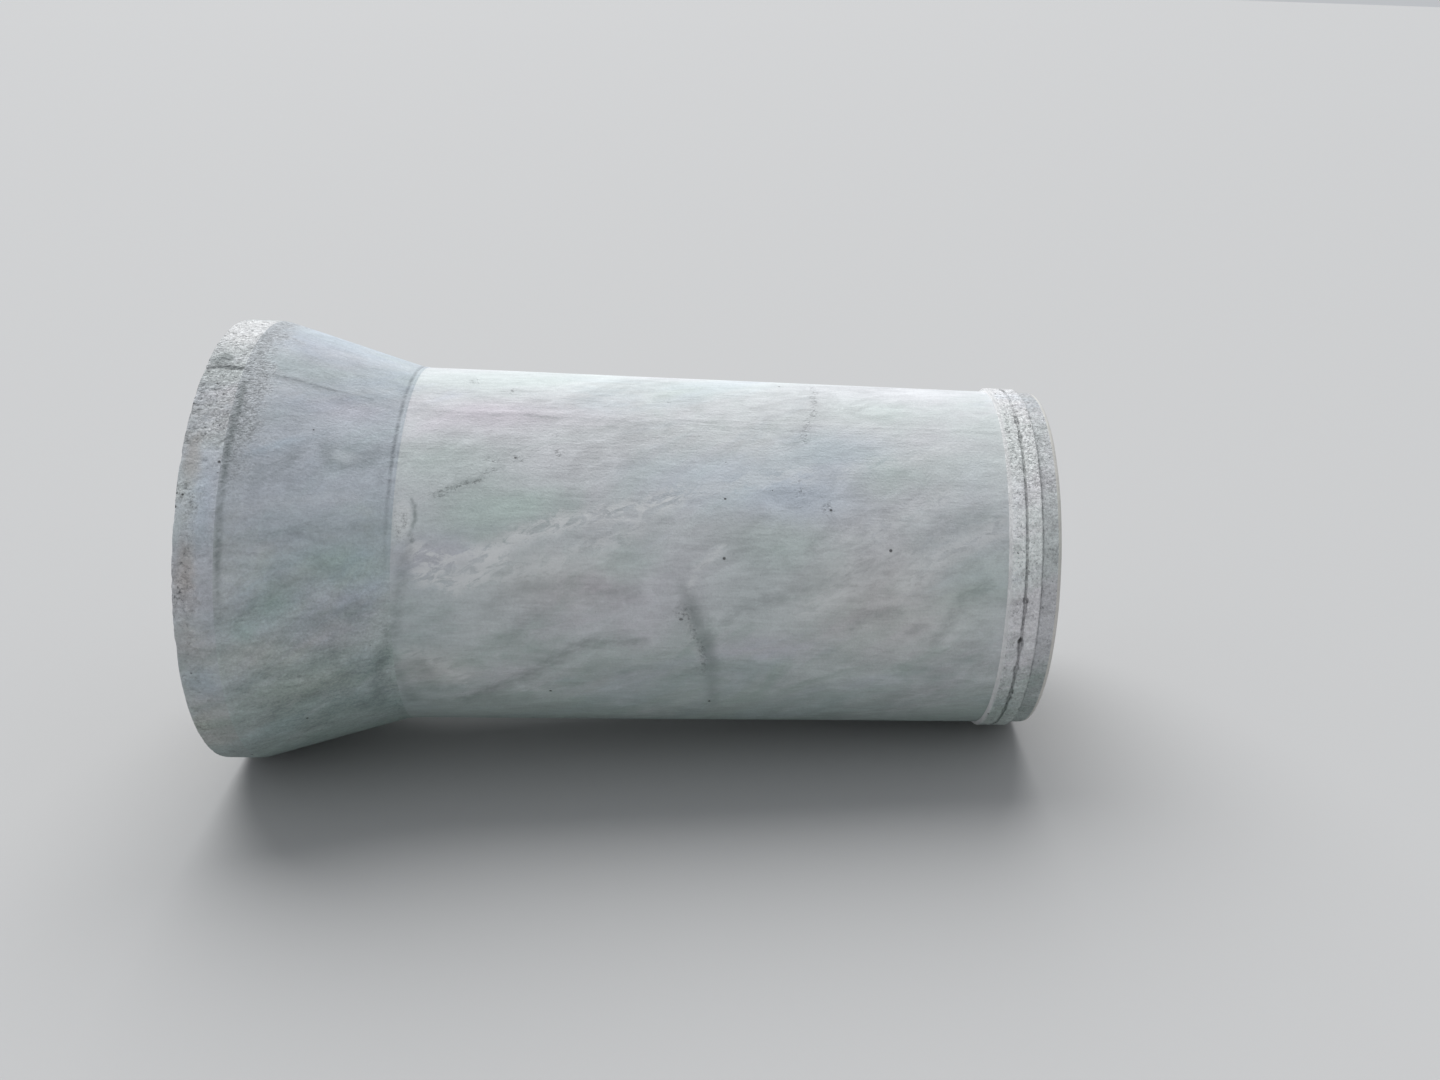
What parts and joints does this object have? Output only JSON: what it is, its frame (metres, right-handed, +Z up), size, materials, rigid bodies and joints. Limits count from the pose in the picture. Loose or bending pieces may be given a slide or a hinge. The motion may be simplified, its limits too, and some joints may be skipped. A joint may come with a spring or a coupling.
{
  "type": "concrete culvert pipe",
  "caption": "Bell-and-spigot reinforced concrete drainage pipe, lying on the floor; its spigot fits the socket of the next pipe.",
  "frame": {"origin": "on the floor under the middle of the lying pipe", "axes": "+X along the pipe from its bell to its spigot, +Z up; the pipe's axis falls 2.8 degrees towards +X"},
  "size_m": [2.756, 1.4698, 1.4735],
  "materials": {
    "concrete": "matte"
  },
  "bodies": {
    "root": {"culvert_pipe": "concrete"}
  },
  "joints": []
}
